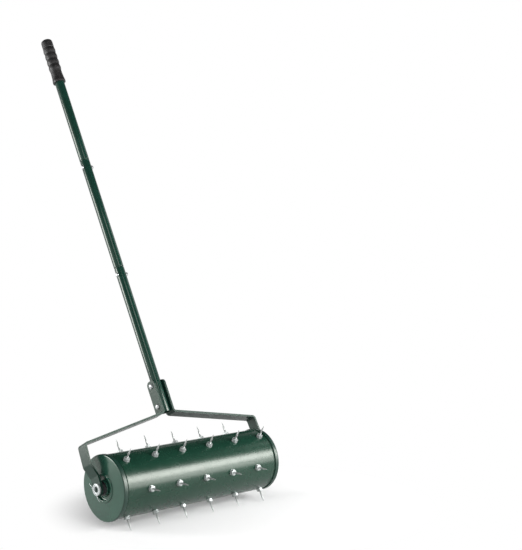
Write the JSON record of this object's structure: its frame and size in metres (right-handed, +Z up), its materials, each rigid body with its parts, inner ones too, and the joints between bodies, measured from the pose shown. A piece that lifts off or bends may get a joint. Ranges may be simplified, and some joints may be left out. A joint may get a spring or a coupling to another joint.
{
  "type": "rolling lawn aerator",
  "caption": "Push lawn aerator: a spiked steel drum turning on an axle in a flat-bar yoke, with a long three-section tube handle and a black end grip.",
  "frame": {"origin": "on the ground, under the middle of the machine's footprint as it stands in the picture with its handle leaning back", "axes": "+X along the drum's axle to the operator's right, +Y back towards the operator, the way the handle leans, +Z up"},
  "size_m": [0.5348, 0.6768, 1.1658],
  "materials": {
    "green_enamel": "glossy dark green powder coat",
    "zinc_steel": "bright zinc plate",
    "nylon": "black moulded nylon",
    "black_rubber": "satin black moulded rubber"
  },
  "bodies": {
    "frame": {"axle": "zinc_steel", "axle_collar_left": "zinc_steel", "axle_collar_right": "zinc_steel", "collar_pin_left": "zinc_steel", "collar_pin_right": "zinc_steel", "thrust_washer_left": "nylon", "thrust_washer_right": "nylon", "yoke_arm_left": "green_enamel", "yoke_arm_right": "green_enamel", "yoke_bolt_lower": "zinc_steel", "yoke_bolt_upper": "zinc_steel", "yoke_nut_lower": "zinc_steel", "yoke_nut_upper": "zinc_steel", "handle_lower": "green_enamel", "handle_middle": "green_enamel", "handle_upper": "green_enamel", "joint_screw_lower": "zinc_steel", "joint_screw_upper": "zinc_steel", "joint_nut_lower": "zinc_steel", "joint_nut_upper": "zinc_steel", "grip": "black_rubber"},
    "drum": {"drum_shell": "green_enamel", "end_cap_left": "green_enamel", "end_cap_right": "green_enamel", "drum_bush_left": "nylon", "drum_bush_right": "nylon", "spike_row1_1": "zinc_steel", "spike_row1_2": "zinc_steel", "spike_row1_3": "zinc_steel", "spike_row1_4": "zinc_steel", "spike_row1_5": "zinc_steel", "spike_row2_1": "zinc_steel", "spike_row2_2": "zinc_steel", "spike_row2_3": "zinc_steel", "spike_row2_4": "zinc_steel", "spike_row2_5": "zinc_steel", "spike_row2_6": "zinc_steel", "spike_row3_1": "zinc_steel", "spike_row3_2": "zinc_steel", "spike_row3_3": "zinc_steel", "spike_row3_4": "zinc_steel", "spike_row3_5": "zinc_steel", "spike_row4_1": "zinc_steel", "spike_row4_2": "zinc_steel", "spike_row4_3": "zinc_steel", "spike_row4_4": "zinc_steel", "spike_row4_5": "zinc_steel", "spike_row4_6": "zinc_steel", "spike_row5_1": "zinc_steel", "spike_row5_2": "zinc_steel", "spike_row5_3": "zinc_steel", "spike_row5_4": "zinc_steel", "spike_row5_5": "zinc_steel", "spike_row6_1": "zinc_steel", "spike_row6_2": "zinc_steel", "spike_row6_3": "zinc_steel", "spike_row6_4": "zinc_steel", "spike_row6_5": "zinc_steel", "spike_row6_6": "zinc_steel"}
  },
  "joints": [
    {"name": "drum_spin", "type": "hinge", "parent": "frame", "child": "drum", "pos_m": [0, -0.23052, 0.09364], "axis": [1, 0, 0], "continuous": true}
  ]
}
